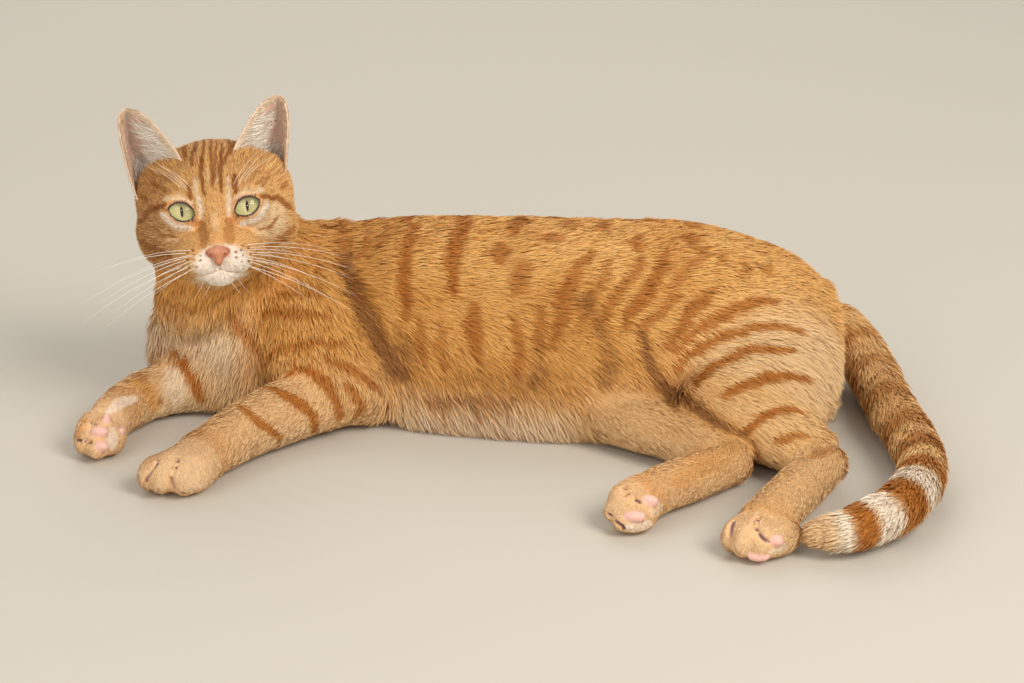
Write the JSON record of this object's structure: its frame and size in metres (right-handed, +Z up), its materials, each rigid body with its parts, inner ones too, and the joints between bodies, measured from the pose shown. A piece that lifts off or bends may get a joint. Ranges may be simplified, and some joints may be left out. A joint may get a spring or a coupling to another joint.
{
  "type": "ginger tabby cat",
  "caption": "Short-haired ginger tabby cat, life size and still, lying on its belly and hip with its head raised, forelegs and hind legs reaching to its left and its tail curled forward.",
  "frame": {"origin": "on the floor under the middle of the belly, on the belly's resting flat", "axes": "+X from the breast to the rump, -Y to the cat's left side where its legs lie, +Z up"},
  "size_m": [0.5042, 0.3126, 0.1924],
  "materials": {
    "fur": "short soft coat, sandy orange with rust stripes, cream underneath",
    "leather": "bare salmon-pink nose skin, slightly moist",
    "eye": "clear wet cornea over a pale yellow-green iris with a slit pupil"
  },
  "bodies": {
    "root": {"eye_left": "eye", "eye_right": "eye", "nose": "leather", "head": "fur", "ear_left": "fur", "ear_right": "fur", "chest": "fur", "abdomen": "fur", "rump": "fur", "neck": "fur", "foreleg_left_upper": "fur", "foreleg_left_lower": "fur", "foreleg_right_lower": "fur", "hindleg_left_thigh": "fur", "hindleg_left_shank": "fur", "hindleg_right_shank": "fur", "forepaw_left": "fur", "forepaw_right": "fur", "hindfoot_left": "fur", "hindfoot_right": "fur", "tail_1": "fur", "tail_2": "fur", "tail_3": "fur", "tail_4": "fur"}
  },
  "joints": []
}
